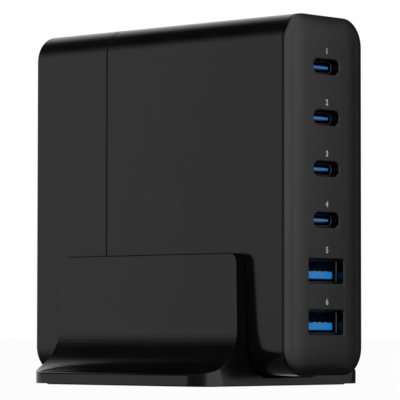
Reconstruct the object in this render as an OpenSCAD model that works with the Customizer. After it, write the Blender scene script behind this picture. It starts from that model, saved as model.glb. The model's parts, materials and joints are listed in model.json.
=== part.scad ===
// Slab charger with a column of sockets, standing on edge in a flared cradle.
// The port face looks along -Y, the big sides face -X and +X, and +Z is up.
// The origin is on the table, below the middle of the whole object.

/* [Slab] */
// Thickness of the slab
slab_w = 30.4; // [28.5:0.1:40]
// Height of the slab
slab_h = 92; // [88:0.5:130]
// Depth of the slab behind the seam of the port face
slab_d = 89.3; // [84:0.1:130]
// Radius of the slab's long edges
edge_r = 7.2; // [6:0.1:9]
// Wall of the casing
wall = 2; // [1.6:0.1:2.4]
// Distance from the seam to the parting line of the two casings
sleeve_len = 62; // [56:0.5:66]
// Radius round the rear end
rear_r = 0.9; // [0.6:0.1:1.8]

/* [Seams] */
// Width of the dark groove at each seam
groove_w = 0.3; // [0.2:0.05:0.5]
// Depth of that groove
groove_deep = 0.9; // [0.6:0.1:1]
// Length of the lips that register the casings
lip_len = 3; // [2:0.5:4]
// Thickness of the lip behind the port face
lip_t = 1.2; // [0.8:0.1:1.6]
// Clearance between pieces that slide together
fit = 0.1; // [0.05:0.05:0.2]

/* [Port face] */
// Radius of the gentle fall of the port face, outside its flat middle
crown_r = 40; // [30:1:60]
// Radius of the tighter fall near its rim
soft_r = 8; // [6:0.5:10]
// Slope that the port face has reached at its rim
face_lean = 30; // [20:1:36]
// Radius where the port face meets the big sides
face_r = 0.3; // [0.2:0.05:0.6]
// Straight land between that radius and the groove
face_land = 0.1; // [0.1:0.05:0.4]
// Distance from the seam back to the inner face of the port face
face_back = 0.35; // [0.3:0.05:0.6]
// Height of the lowest socket over the slab's underside
port_low = 13.55; // [12.5:0.05:16]
// Distance of the highest socket below the slab's top
port_high = 13.2; // [12:0.05:16]

/* [Small sockets] */
// Opening for a small socket, width
small_open_w = 10.1; // [9.5:0.1:11]
// Opening for a small socket, height
small_open_h = 3.9; // [3.6:0.1:4.4]
// Metal shell of a small socket, width
small_w = 8.94; // [8.7:0.02:9.2]
// Metal shell of a small socket, height
small_h = 3.26; // [3.16:0.02:3.4]
// Tongue of a small socket, width
small_tongue_w = 6.69; // [6.3:0.01:6.9]
// Tongue of a small socket, thickness
small_tongue_t = 0.75; // [0.7:0.01:0.9]
// Distance of the small tongue's tip behind the rim of its shell
small_tongue_back = 0.2; // [0.1:0.1:1]

/* [Large sockets] */
// Opening for a large socket, width
large_open_w = 13.7; // [13.5:0.1:14.5]
// Opening for a large socket, height
large_open_h = 6.3; // [6:0.1:7]
// Metal shell of a large socket, width
large_w = 13.1; // [12.9:0.05:13.3]
// Metal shell of a large socket, height
large_h = 5.72; // [5.6:0.02:5.9]
// Tongue of a large socket, width
large_tongue_w = 11.1; // [10.6:0.1:11.4]
// Tongue of a large socket, thickness
large_tongue_t = 2; // [1.8:0.05:2.2]
// Distance of the large tongue below the middle of its socket
large_tongue_drop = 1; // [0.8:0.05:1.1]
// Distance of the large tongue's tip behind the rim of its shell
large_tongue_back = 0.6; // [0.1:0.1:1]

/* [Socket bodies] */
// Sheet of the socket shells
shell_t = 0.3; // [0.25:0.05:0.35]
// Length of the socket shells
shell_len = 13.1; // [12:0.1:15]
// Thickness of the insulator block at a tongue's root
root_t = 3; // [2:0.5:4]

/* [Cradle] */
// Width of the base, across the slab
base_w = 63; // [54:0.5:76]
// Depth of the base, along the slab
base_d = 65.4; // [50:0.2:72]
// Radius of the base's corners
base_r = 7.4; // [5:0.1:8.5]
// Height of the base's rim
rim_h = 3; // [2.4:0.1:4]
// Height of the cradle's walls over the table
wall_top = 33.9; // [26:0.1:45]
// Thickness of the walls where the flare begins
cradle_wall = 3.4; // [2.8:0.1:4.5]
// Lean of the walls' outer faces
wall_lean = 2; // [1:0.25:3]
// Lean of the cradle's ends
end_lean = 2.75; // [1:0.25:4]
// Radius of the walls' top corners, seen from the side
wall_corner_r = 2.4; // [1:0.1:4]
// Radius along the walls' top edges
wall_edge_r = 0.9; // [0.5:0.1:1]
// Radius along the base's rim
rim_r = 0.8; // [0.4:0.1:1.2]
// Gap between slab and cradle
cradle_gap = 0.6; // [0.4:0.1:1]
// Height of the slab's underside over the table
slab_z = 2.7; // [2.5:0.1:4]
// Width of the strips under the slab
pad_w = 4; // [3:0.5:6]
// Length of the strips under the slab
pad_len = 54; // [30:1:60]

/* [Mat] */
// Thickness of the mat under the base
mat_t = 0.8; // [0.6:0.1:1]
// Part of the mat's thickness that stands out of the base
mat_proud = 0.3; // [0.2:0.05:0.4]
// Margin between the mat and the rim of the base
mat_margin = 3; // [2:0.5:6]

/* [Inlet] */
// Height of the mains inlet over the slab's underside
inlet_up = 21; // [18:0.5:30]
// Width of the inlet's nose
inlet_w = 11.6; // [11:0.1:12.5]
// Height of the inlet's nose
inlet_h = 20; // [19.5:0.1:22]
// Diameter of each round lobe of the cavity
lobe_d = 8; // [7.6:0.1:8.4]
// Width of the waist between the lobes
waist_w = 5.6; // [5:0.1:6]
// Distance between the two pins
pin_pitch = 8.6; // [8.4:0.1:8.8]
// Diameter of the pins
pin_d = 2.4; // [2.3:0.05:2.5]
// Depth of the inlet's cavity
cavity_deep = 15; // [13:0.5:16]

/* [Boards] */
// Thickness of both circuit boards
board_t = 1.6; // [1.2:0.1:2]
// Gap between the port board and the casing
board_gap = 1.1; // [0.8:0.1:2]
// Gap between the main board and the rear wall
main_back = 5.6; // [4:0.2:8]
// Depth of the rails that hold the main board
rail_deep = 2.6; // [2:0.1:3]
// Thickness of each rail
rail_t = 1.2; // [0.8:0.1:1.6]
// Thickness of the heat spreaders
spreader_t = 1; // [0.8:0.1:1.5]
// Thickness of the insulation sheet
sheet_t = 0.4; // [0.2:0.1:0.5]
// Gap for solder joints behind the main board
solder_gap = 1.6; // [1.2:0.1:2]

/* [Electronics] */
// Gap between neighbouring parts on the main board
part_gap = 0.8; // [0.6:0.1:1.2]
// Thickness of the end plates of the wound parts
core_t = 4; // [3:0.5:5]
// Thickness of the pad between transformer and heat spreader
pad_t = 2; // [1:0.5:3]

/* [Hidden] */
$fn = 96;
big_fn = 240;
eps = 0.5;

// Port face: from the line of the corner centres outwards it falls in three tangent arcs
crown_lean = asin((edge_r - face_r - (soft_r - face_r) * sin(face_lean)) / (crown_r - soft_r));
soft_c = [0, crown_r] + (crown_r - soft_r) * [sin(crown_lean), -cos(crown_lean)];
edge_c = soft_c + (soft_r - face_r) * [sin(face_lean), -cos(face_lean)];
crown_end = crown_r * sin(crown_lean);
soft_end = soft_c[0] + soft_r * sin(face_lean);
face_drop = edge_c[1];

// Slab: places along its depth
mid_z = slab_z + slab_h / 2;
inner_w = slab_w - 2 * wall;
front_rise = groove_w + face_land + face_drop;
front_y = -(slab_d + front_rise) / 2;
rim_y = front_y + face_drop + face_land;
seam_y = front_y + front_rise;
plate_y = seam_y + face_back;
parting_y = seam_y + sleeve_len;
rear_y = seam_y + slab_d;
lap = wall / 2;

// Sockets: the small ones stand above the large ones
small_count = 4;
large_count = 2;
port_count = small_count + large_count;
port_pitch = (slab_h - port_low - port_high) / (port_count - 1);
shell_y = plate_y;
board_y = shell_y + shell_len;
small_tip_y = shell_y + small_tongue_back;
large_tip_y = shell_y + large_tongue_back;
seat_gap = fit / 2;
corner_r = 0.6;
inner_r = corner_r - shell_t;
small_tongue_r = 0.2;
contact_t = 0.12;
small_contact = [0.3, 4.4];
small_contact_step = 1;
large_contact = [1, 7.2];
large_contact_x = [-3.5, -1, 1, 3.5];
contact_back = 0.6;

// Inlet: its nose is flush with the rear end
inlet_z = slab_z + inlet_up;
floor_t = 2.2;
inlet_len = cavity_deep + floor_t;
flange_t = 1.5;
flange_w = 1.6;
pin_tail = 2.6;
pin_back = 3.5;

// Main board: u runs along the slab from its front end, v runs up from its lower edge
main_x = -inner_w / 2 + spreader_t + sheet_t + solder_gap;
main_face = main_x + board_t;
main_y = board_y + board_t;
main_len = rear_y - wall - main_back - main_y;
board_clear = 0.9;
main_z = slab_z + wall + board_clear;
main_h = slab_h - 2 * (wall + board_clear);
spreader_clear = 0.4;
spreader_face = inner_w / 2 - spreader_t;
spreader_z = slab_z + edge_r + spreader_clear;
spreader_h = slab_h - 2 * (edge_r + spreader_clear);
spreader_front = 1;
spreader_y = main_y + spreader_front;
spreader_back = 5;
spreader_len = rear_y - wall - spreader_back - spreader_y;
room_x = spreader_face - main_face;

// Parts stand on the main board in cells. A list of relative sizes fills a stretch from one
// end to the other, and cell() gives the middle and the size of one of them.
function total(list, n) = n == 0 ? 0 : list[n - 1] + total(list, n - 1);
function cell(list, i, from, to) = let (k = (to - from) / total(list, len(list)))
    [from + k * (total(list, i) + list[i] / 2), k * list[i]];

// The lower band ends over the mains inlet, and the inlet takes its rear end
link_w = 2.5;
edge_v = rail_deep - board_clear + part_gap;
band_v = inlet_z + inlet_h / 2 + flange_w + part_gap - main_z;
top_v = main_h - edge_v;
band_u = rear_y - inlet_len - pin_tail - part_gap - main_y;
columns = [12, 21, 17.6, 16];
transformer_rows = [9, 26, 18.2];
boost_rows = [27.2, 26];
mains_rows = [10, 20, 23.2];

function low_column(i) = cell([1, 1, 1], i, link_w, band_u);
function low_row(i) = cell([1, 1, 1], i, edge_v, band_v);
function column(i) = cell(columns, i, 0, main_len);
function row(list, i) = cell(list, i, band_v, top_v);

choke_rows = [1, 1, 1];
bulk_d = min(low_column(1)[1], room_x) - part_gap;
bulk_cells = [[low_column(2), [(edge_v + band_v) / 2, band_v - edge_v]],
              [low_column(1), [(edge_v + band_v) / 2, band_v - edge_v]],
              [column(2), row(boost_rows, 0)]];

// Cradle. Its plan reaches a hair past the foot of the leaning ends, so that the round
// corners and the ends cross and don't just touch.
stand_z = mat_proud;
corner_slip = 0.04;
cradle_x = slab_w / 2 + cradle_gap;
flare_r = (base_w / 2 - cradle_x - cradle_wall) / cos(wall_lean);
flare = [base_w / 2, rim_h + mat_proud + flare_r];
flare_top = flare - flare_r * [cos(wall_lean), sin(wall_lean)];
rim_c = [base_w / 2 - rim_r, flare[1] - sqrt(pow(flare_r + rim_r, 2) - rim_r * rim_r)];
rim_top = flare + (rim_c - flare) * flare_r / (flare_r + rim_r);
edge_z = wall_top - wall_edge_r;
edge_x = flare_top[0] - (edge_z - flare_top[1]) * tan(wall_lean) - wall_edge_r / cos(wall_lean);
end_z = wall_top - wall_corner_r;
end_y = base_d / 2 - (end_z - stand_z) * tan(end_lean) - wall_corner_r / cos(end_lean);

// Drawing planes
module along_y(y0, y1) {
    translate([0, y1, 0]) rotate([90, 0, 0]) linear_extrude(y1 - y0) children();
}

module along_x(x0, x1) {
    translate([x0, 0, 0]) rotate([90, 0, 90]) linear_extrude(x1 - x0) children();
}

module along_z(z0, z1) {
    translate([0, 0, z0]) linear_extrude(z1 - z0) children();
}

// Rectangle with round corners, centred
module rounded(w, h, r) {
    square([w - 2 * r, h], center = true);
    square([w, h - 2 * r], center = true);
    for (sx = [-1, 1], sz = [-1, 1])
        translate([sx * (w / 2 - r), sz * (h / 2 - r)]) circle(r);
}

module stadium(w, h) {
    square([w - h, h], center = true);
    for (sx = [-1, 1]) translate([sx * (w - h) / 2, 0]) circle(h / 2);
}

// Section across the slab, seen from the port face
module slab_section(inset = 0) {
    translate([0, mid_z])
        rounded(slab_w - 2 * inset, slab_h - 2 * inset, edge_r - inset);
}

module slab_ring(y0, y1, outer, inner) {
    along_y(y0, y1) difference() {
        slab_section(outer);
        slab_section(inner);
    }
}

// Half of a bar's outline whose far end has a round corner
module round_end(half, len, r) {
    square([half - r, len]);
    translate([0, r]) square([half, len - r]);
    translate([half - r, r]) circle(r);
}

module round_end_pair(half, len, r) {
    round_end(half, len, r);
    mirror([1, 0]) round_end(half, len, r);
}

// Slab block from y0 back to the rear end, with the rear edge rounded all the way round
module soft_block(y0) {
    len = rear_y - y0;
    core_x = slab_w / 2 - edge_r;
    core_z = slab_h / 2 - edge_r;
    translate([0, rear_y, mid_z]) {
        for (sx = [-1, 1], sz = [-1, 1])
            translate([sx * core_x, 0, sz * core_z]) rotate([90, 0, 0])
                rotate_extrude() round_end(edge_r, len, rear_r);
        mirror([0, 1, 0]) along_z(-core_z, core_z) round_end_pair(slab_w / 2, len, rear_r);
        mirror([0, 1, 0]) rotate([0, 90, 0]) along_z(-core_x, core_x)
            round_end_pair(slab_h / 2, len, rear_r);
    }
}

// Casing
module rails() {
    slot = board_t + 2 * fit;
    mid_x = main_x + board_t / 2;
    intersection() {
        along_y(main_y, parting_y) for (sx = [-1, 1], sz = [-1, 1])
            translate([mid_x + sx * (slot + rail_t) / 2,
                       mid_z + sz * (slab_h / 2 - wall / 2 - rail_deep / 2)])
                square([rail_t, wall + rail_deep], center = true);
        along_y(main_y, parting_y) slab_section(wall / 2);
    }
}

module front_shell() color("#1b1b1d") {
    slab_ring(seam_y, parting_y, 0, wall);
    slab_ring(parting_y, parting_y + lip_len, lap + fit, wall);
    rails();
}

module rear_shell() color("#1b1b1d") difference() {
    soft_block(parting_y + groove_w);
    along_y(parting_y, parting_y + lip_len) slab_section(lap);
    along_y(parting_y, rear_y - wall) slab_section(wall);
    along_y(rear_y - wall - eps, rear_y + eps) inlet_section(fit);
}

// Half outline of the port face, from the corner's centre line outwards
module face_curve(len) {
    intersection() {
        translate([0, crown_r]) circle(crown_r, $fn = big_fn);
        square([crown_end, len]);
    }
    intersection() {
        translate(soft_c) circle(soft_r, $fn = 96);
        translate([crown_end, 0]) square([soft_end - crown_end, len]);
    }
    intersection() {
        translate(edge_c) circle(face_r, $fn = 24);
        translate([soft_end, 0]) square([edge_r - soft_end, face_drop]);
    }
    translate([soft_end, face_drop]) square([edge_r - soft_end, len - face_drop]);
}

module face_half(half, len) {
    square([half - edge_r, len]);
    translate([half - edge_r, 0]) face_curve(len);
}

module face_pair(half, len) {
    face_half(half, len);
    mirror([1, 0]) face_half(half, len);
}

// The port face, soft all the way round, down to its rim
module soft_face(len) {
    core_x = slab_w / 2 - edge_r;
    core_z = slab_h / 2 - edge_r;
    translate([0, front_y, mid_z]) {
        for (sx = [-1, 1], sz = [-1, 1])
            translate([sx * core_x, 0, sz * core_z]) rotate([-90, 0, 0])
                rotate_extrude($fn = 48) face_curve(len);
        along_z(-core_z, core_z) face_pair(slab_w / 2, len);
        rotate([0, 90, 0]) along_z(-core_x, core_x) face_pair(slab_h / 2, len);
    }
}

module front_panel() color("#1d1d1f") difference() {
    union() {
        soft_face(rim_y - front_y);
        along_y(rim_y - face_land, seam_y) slab_section(groove_deep);
        along_y(rim_y - face_land, plate_y) slab_section(wall + fit);
        slab_ring(seam_y, seam_y + lip_len, wall + fit, wall + fit + lip_t);
    }
    for (i = [0 : port_count - 1])
        translate([0, 0, port_z(i)]) along_y(front_y - eps, plate_y + eps) port_opening(i);
}

function port_z(i) = slab_z + port_low + (port_count - 1 - i) * port_pitch;

module port_opening(i) {
    if (i < small_count) stadium(small_open_w, small_open_h);
    else rounded(large_open_w, large_open_h, corner_r);
}

// Sockets, each drawn about the middle of its opening and lifted to its place
module at_port(i) {
    translate([0, 0, port_z(i)]) children();
}

module small_shell(i) color("#b9bcc2") at_port(i) along_y(shell_y, board_y) difference() {
    stadium(small_w, small_h);
    stadium(small_w - 2 * shell_t, small_h - 2 * shell_t);
}

module small_tongue(i) color("#1c78d0") at_port(i) {
    inner = 2 * (shell_t + seat_gap);
    along_y(board_y - root_t, board_y) stadium(small_w - inner, small_h - inner);
    along_y(small_tip_y, board_y - root_t)
        rounded(small_tongue_w, small_tongue_t, small_tongue_r);
}

module small_contacts(i) color("#d8a83c") at_port(i) for (sz = [-1, 1], k = [-2.5 : 2.5])
    along_y(small_tip_y + contact_back, small_tip_y + contact_back + small_contact[1])
        translate([k * small_contact_step, sz * (small_tongue_t + contact_t) / 2])
            square([small_contact[0], contact_t], center = true);

module large_shell(i) color("#b9bcc2") at_port(i) along_y(shell_y, board_y) difference() {
    rounded(large_w, large_h, corner_r);
    rounded(large_w - 2 * shell_t, large_h - 2 * shell_t, inner_r);
}

module large_tongue(i) color("#1c78d0") at_port(i) {
    inner = 2 * (shell_t + seat_gap);
    along_y(board_y - root_t, board_y) rounded(large_w - inner, large_h - inner, inner_r);
    translate([0, 0, -large_tongue_drop]) along_y(large_tip_y, board_y - root_t)
        rounded(large_tongue_w, large_tongue_t, inner_r);
}

module large_contacts(i) color("#d8a83c") at_port(i) for (x = large_contact_x)
    along_y(large_tip_y + contact_back, large_tip_y + contact_back + large_contact[1])
        translate([x, -large_tongue_drop + (large_tongue_t + contact_t) / 2])
            square([large_contact[0], contact_t], center = true);

// Boards and what guides heat
module port_board() color("#1f5a36") along_y(board_y, board_y + board_t)
    slab_section(wall + board_gap);

module main_board() color("#1f5a36")
    translate([main_x, main_y, main_z]) cube([board_t, main_len, main_h]);

module on_board(at) {
    translate([main_face, main_y + at[0], main_z + at[1]]) children();
}

link_h = 2.5;
link_size = [link_h, link_w, band_v - edge_v - part_gap];
link_pins = 10;
link_pin = [3, 0.6, 0.6];

module board_link() color("#26282b") on_board([0, edge_v]) {
    step = link_size[2] / link_pins;
    cube(link_size);
    for (k = [0 : link_pins - 1])
        translate([link_size[0], (link_size[1] - link_pin[1]) / 2,
                   (k + 0.5) * step - link_pin[2] / 2]) cube(link_pin);
}

module spreader(x) color("#a9adb3")
    translate([x, spreader_y, spreader_z]) cube([spreader_t, spreader_len, spreader_h]);

module heat_spreader_left() spreader(-inner_w / 2);

module heat_spreader_right() spreader(spreader_face);

module insulation_sheet() color("#e8e2c8")
    translate([-inner_w / 2 + spreader_t, spreader_y, spreader_z])
        cube([sheet_t, spreader_len, spreader_h]);

// Mains inlet with two pins
module inlet_section(grow = 0) {
    translate([0, inlet_z]) rotate(90) stadium(inlet_h + 2 * grow, inlet_w + 2 * grow);
}

module cavity_section() {
    translate([0, inlet_z]) {
        square([waist_w, pin_pitch], center = true);
        for (sz = [-1, 1]) translate([0, sz * pin_pitch / 2]) circle(d = lobe_d);
    }
}

module inlet_housing() color("#141416") difference() {
    union() {
        along_y(rear_y - inlet_len, rear_y) inlet_section();
        along_y(rear_y - wall - flange_t, rear_y - wall) inlet_section(flange_w);
    }
    along_y(rear_y - cavity_deep, rear_y + eps) cavity_section();
    for (sz = [-1, 1]) translate([0, 0, inlet_z + sz * pin_pitch / 2])
        along_y(rear_y - inlet_len - eps, rear_y) circle(d = pin_d);
}

module inlet_pins() color("#c9ccd1") for (sz = [-1, 1])
    translate([0, 0, inlet_z + sz * pin_pitch / 2]) {
        along_y(rear_y - inlet_len - pin_tail, rear_y - pin_back) circle(d = pin_d);
        translate([0, rear_y - pin_back, 0]) sphere(d = pin_d);
    }

// Wound parts stand on the main board with their axis away from it
cheek_t = 0.8;
transformer_h = room_x - pad_t;
transformer_at = [column(1)[0], row(transformer_rows, 1)[0]];
core_plate = [row(transformer_rows, 1)[1], column(1)[1]] - [part_gap, part_gap];
boost_h = 15;
boost_at = [column(2)[0], row(boost_rows, 1)[0]];
boost_plate = [row(boost_rows, 1)[1], column(2)[1]] - [part_gap, part_gap];

// A core's legs take a seventh of its plate each, and its post is half as wide as the window
function core_leg(plate) = plate[0] / 7;
function core_window(plate) = min(plate[0] - 2 * core_leg(plate), plate[1]);
function core_post(plate) = core_window(plate) / 2;

module wound_core(plate, height) {
    leg = core_leg(plate);
    for (x = [0, height - core_t]) translate([x, -plate[1] / 2, -plate[0] / 2])
        cube([core_t, plate[1], plate[0]]);
    for (sz = [-1, 1]) translate([0, -plate[1] / 2, sz * (plate[0] - leg) / 2 - leg / 2])
        cube([height, plate[1], leg]);
    along_x(0, height) circle(d = core_post(plate));
}

module wound_coil(plate, height) {
    window = core_window(plate);
    hole = core_post(plate) + 2 * fit;
    along_x(core_t, height - core_t) difference() {
        circle(d = window - 2 * cheek_t);
        circle(d = hole);
    }
    for (x = [core_t, height - core_t - cheek_t]) along_x(x, x + cheek_t) difference() {
        circle(d = window - 2 * fit);
        circle(d = hole);
    }
}

module transformer_core() color("#3a3a3e")
    on_board(transformer_at) wound_core(core_plate, transformer_h);

module transformer_winding() color("#c9a227")
    on_board(transformer_at) wound_coil(core_plate, transformer_h);

module thermal_pad() color("#7fa7c4") on_board(transformer_at)
    translate([transformer_h, -core_plate[1] / 2, -core_plate[0] / 2])
        cube([pad_t, core_plate[1], core_plate[0]]);

module boost_choke_core() color("#3a3a3e")
    on_board(boost_at) wound_core(boost_plate, boost_h);

module boost_choke_winding() color("#b5642d")
    on_board(boost_at) wound_coil(boost_plate, boost_h);

// Line filter: a ring core with one coil on each half
wire_t = 1.4;
filter_at = [column(3)[0], row(mains_rows, 2)[0]];
ring_r = (min(column(3)[1], row(mains_rows, 2)[1]) - part_gap) / 2 - wire_t - fit;
ring_h = 7;
ring = [ring_r * 0.6, ring_r, ring_h];

module filter_ring(grow) {
    translate([ring[0] - grow, -ring[2] / 2 - grow])
        square([ring[1] - ring[0] + 2 * grow, ring[2] + 2 * grow]);
}

module on_filter() {
    on_board(filter_at) translate([ring[2] / 2 + wire_t + fit, 0, 0]) rotate([0, 90, 0])
        children();
}

module line_filter_core() color("#3f6b4a") on_filter() rotate_extrude() filter_ring(0);

module line_filter_winding() color("#b5642d") on_filter() for (turn = [25, 205]) rotate(turn)
    rotate_extrude(angle = 130) difference() {
        filter_ring(fit + wire_t);
        filter_ring(fit);
    }

// Other parts on the boards. A size is [height off the board, along the slab, upwards].
bulk_groove = 2.2;
bulk_groove_r = 0.9;
x_capacitor_at = [column(3)[0], row(mains_rows, 1)[0]];
x_capacitor_h = 14;
x_capacitor_t = 8;
x_capacitor_size = [x_capacitor_h, x_capacitor_t, row(mains_rows, 1)[1] - part_gap];
fuse_at = [column(3)[0], row(mains_rows, 0)[0]];
fuse_d = 4.6;
fuse_cap_d = 5;
fuse_cap_len = 2;
fuse_len = row(mains_rows, 0)[1] - part_gap - 2 * fuse_cap_len;
bridge_at = [column(1)[0], row(transformer_rows, 2)[0]];
bridge_h = 13;
bridge_t = 3.6;
bridge_size = [bridge_h, bridge_t, row(transformer_rows, 2)[1] - part_gap];
bridge_leads = 4;
lead_size = [2.5, 0.6, 0.8];
switch_h = 1.2;
switch_size = [switch_h, column(1)[1] / 2 - part_gap,
               row(transformer_rows, 0)[1] - part_gap];
choke_side = min(column(0)[1], row(choke_rows, 0)[1]) - part_gap;
choke_h = 5;
choke_size = [choke_h, choke_side, choke_side];
output_d = min(low_column(0)[1], low_row(0)[1]) - part_gap;
output_h = 10;
foot_h = 1.2;
foot_over = 0.1;
foot_side = output_d + 2 * foot_over;
output_foot = [foot_h, foot_side, foot_side];
controller_x = 4.5;
controller_size = [5, 0.9, 5];
part_r = 0.8;

module on_foot(size) {
    translate([0, -size[1] / 2, -size[2] / 2]) cube(size);
}

module bulk_capacitor(k) color("#2b3038") {
    place = bulk_cells[k];
    len = place[1][1] - part_gap;
    on_board([place[0][0], place[1][0]]) translate([bulk_d / 2, 0, -len / 2]) difference() {
        cylinder(d = bulk_d, h = len);
        translate([0, 0, bulk_groove]) rotate_extrude()
            translate([bulk_d / 2 + bulk_groove_r / 3, 0]) circle(bulk_groove_r, $fn = 24);
    }
}

module x_capacitor() color("#d8b62c") on_board(x_capacitor_at)
    along_x(0, x_capacitor_size[0]) rounded(x_capacitor_size[1], x_capacitor_size[2], part_r);

module fuse() color("#c4b79c") on_board(fuse_at) translate([fuse_cap_d / 2, 0, 0]) {
    translate([0, 0, -fuse_len / 2]) cylinder(d = fuse_d, h = fuse_len);
    for (z = [-fuse_len / 2 - fuse_cap_len, fuse_len / 2])
        translate([0, 0, z]) cylinder(d = fuse_cap_d, h = fuse_cap_len);
}

module bridge_rectifier() color("#1c1d20") on_board(bridge_at) {
    step = bridge_size[2] / bridge_leads;
    translate([lead_size[0], 0, 0]) on_foot(bridge_size);
    for (k = [0 : bridge_leads - 1])
        translate([0, 0, (k + 0.5) * step - bridge_size[2] / 2]) on_foot(lead_size);
}

module power_switch(k) color("#232428")
    on_board([column(1)[0] + (k - 0.5) * column(1)[1] / 2, row(transformer_rows, 0)[0]])
        on_foot(switch_size);

module buck_choke(k) color("#4a4b50") on_board([column(0)[0], row(choke_rows, k)[0]])
    along_x(0, choke_size[0]) rounded(choke_size[1], choke_size[2], part_r);

module output_capacitor(k) color("#8d9096") on_board([low_column(0)[0], low_row(k)[0]]) {
    on_foot(output_foot);
    along_x(output_foot[0], output_foot[0] + output_h) circle(d = output_d);
}

// Each controller is on the back of the port board, between the two sockets that it serves
module port_controller(k) color("#1c1d20")
    translate([controller_x, main_y, (port_z(2 * k) + port_z(2 * k + 1)) / 2])
        translate([-controller_size[0] / 2, 0, -controller_size[2] / 2]) cube(controller_size);

// Cradle: one section along the slab, cut to its leaning ends and to the base's plan
module wall_half() {
    polygon([
        [0, stand_z], [base_w / 2, stand_z], [base_w / 2, rim_c[1]], rim_c, rim_top, flare,
        flare_top,
        [edge_x, edge_z] + wall_edge_r * [cos(wall_lean), sin(wall_lean)],
        [edge_x, edge_z],
        [edge_x, wall_top],
        [0, wall_top]
    ]);
    translate([edge_x, edge_z]) circle(wall_edge_r);
}

module cradle_half() {
    difference() {
        wall_half();
        translate(flare) circle(flare_r);
        translate([0, mid_z]) rounded(2 * cradle_x, slab_h + 2 * cradle_gap, edge_r + cradle_gap);
        translate([cradle_x, wall_top]) difference() {
            translate([-eps, -wall_edge_r]) square([eps + wall_edge_r, wall_edge_r + eps]);
            translate([wall_edge_r, -wall_edge_r]) circle(wall_edge_r);
        }
    }
    translate(rim_c) circle(rim_r);
}

module cradle_side() {
    polygon([
        [-base_d / 2, stand_z], [base_d / 2, stand_z],
        [end_y, end_z] + wall_corner_r * [cos(end_lean), sin(end_lean)],
        [end_y, end_z], [end_y, wall_top], [-end_y, wall_top], [-end_y, end_z],
        [-end_y, end_z] + wall_corner_r * [-cos(end_lean), sin(end_lean)]
    ]);
    for (sy = [-1, 1]) translate([sy * end_y, end_z]) circle(wall_corner_r);
}

module stand() color("#1b1b1d") difference() {
    intersection() {
        along_y(-base_d / 2 - eps, base_d / 2 + eps) {
            cradle_half();
            mirror([1, 0]) cradle_half();
        }
        along_x(-base_w / 2 - eps, base_w / 2 + eps) cradle_side();
        along_z(stand_z - eps, wall_top + eps) rounded(base_w, base_d + corner_slip, base_r);
    }
    along_z(0, mat_t) mat_plan();
}

module cradle_pad(side) color("#2a2a2d")
    translate([side * slab_w / 6 - pad_w / 2, -pad_len / 2, slab_z - cradle_gap])
        cube([pad_w, pad_len, cradle_gap]);

module mat_plan() {
    rounded(base_w - 2 * mat_margin, base_d - 2 * mat_margin, base_r - mat_margin);
}

module base_mat() color("#2a2a2d") along_z(0, mat_t) mat_plan();

front_shell();
rear_shell();
front_panel();
for (k = [1 : small_count]) {
    small_shell(k - 1);
    small_tongue(k - 1);
    small_contacts(k - 1);
}
for (k = [1 : large_count]) {
    large_shell(small_count + k - 1);
    large_tongue(small_count + k - 1);
    large_contacts(small_count + k - 1);
}
port_board();
main_board();
board_link();
inlet_housing();
inlet_pins();
line_filter_core();
line_filter_winding();
x_capacitor();
fuse();
bridge_rectifier();
boost_choke_core();
boost_choke_winding();
for (k = [1 : 3]) {
    bulk_capacitor(k - 1);
    buck_choke(k - 1);
    output_capacitor(k - 1);
}
for (k = [1 : 2]) {
    power_switch(k - 1);
    port_controller(k - 1);
}
transformer_core();
transformer_winding();
thermal_pad();
heat_spreader_left();
heat_spreader_right();
insulation_sheet();
stand();
cradle_pad(-1);  // cradle_pad_left
cradle_pad(1);  // cradle_pad_right
base_mat();
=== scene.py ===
import json
import math

import bmesh
import bpy
from mathutils import Matrix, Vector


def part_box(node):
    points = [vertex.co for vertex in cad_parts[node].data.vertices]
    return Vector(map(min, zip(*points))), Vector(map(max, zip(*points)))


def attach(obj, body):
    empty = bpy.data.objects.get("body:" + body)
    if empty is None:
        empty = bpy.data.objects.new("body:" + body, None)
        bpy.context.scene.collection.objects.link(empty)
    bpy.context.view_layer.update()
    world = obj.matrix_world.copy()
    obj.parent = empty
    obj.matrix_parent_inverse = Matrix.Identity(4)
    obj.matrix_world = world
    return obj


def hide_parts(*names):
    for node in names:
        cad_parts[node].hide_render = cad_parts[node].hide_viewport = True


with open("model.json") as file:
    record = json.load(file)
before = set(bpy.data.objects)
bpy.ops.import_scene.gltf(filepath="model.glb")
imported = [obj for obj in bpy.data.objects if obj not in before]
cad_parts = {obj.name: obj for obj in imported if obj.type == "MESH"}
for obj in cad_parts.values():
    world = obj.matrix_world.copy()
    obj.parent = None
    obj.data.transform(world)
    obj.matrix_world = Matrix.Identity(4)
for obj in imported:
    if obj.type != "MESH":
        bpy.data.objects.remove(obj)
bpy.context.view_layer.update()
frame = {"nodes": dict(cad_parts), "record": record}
mm = 0.001
print("frame loaded, nodes:", len(frame["nodes"]))


# Shader wires: a socket that takes part in sums like a number

class Wire:
    def __init__(self, tree, socket=None):
        self.tree = tree
        self.socket = socket

    def node(self, kind, settings, inputs, output=0):
        made = self.tree.nodes.new("ShaderNode" + kind)
        for key, value in settings.items():
            if key == "stops":
                setStops(made.color_ramp, value)
            else:
                setattr(made, key, value)
        for key, value in inputs.items():
            if isinstance(value, Wire):
                self.tree.links.new(value.socket, made.inputs[key])
            else:
                made.inputs[key].default_value = value
        if not made.outputs:
            return None
        return Wire(self.tree, made.outputs[output])

    def sum(self, operation, first, second):
        return self.node("Math", {"operation": operation}, {0: first, 1: second})

    def __add__(self, other):
        return self.sum("ADD", self, other)

    def __sub__(self, other):
        return self.sum("SUBTRACT", self, other)

    def __rsub__(self, other):
        return self.sum("SUBTRACT", other, self)

    def __mul__(self, other):
        return self.sum("MULTIPLY", self, other)

    def __truediv__(self, other):
        return self.sum("DIVIDE", self, other)

    __radd__ = __add__
    __rmul__ = __mul__


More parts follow.
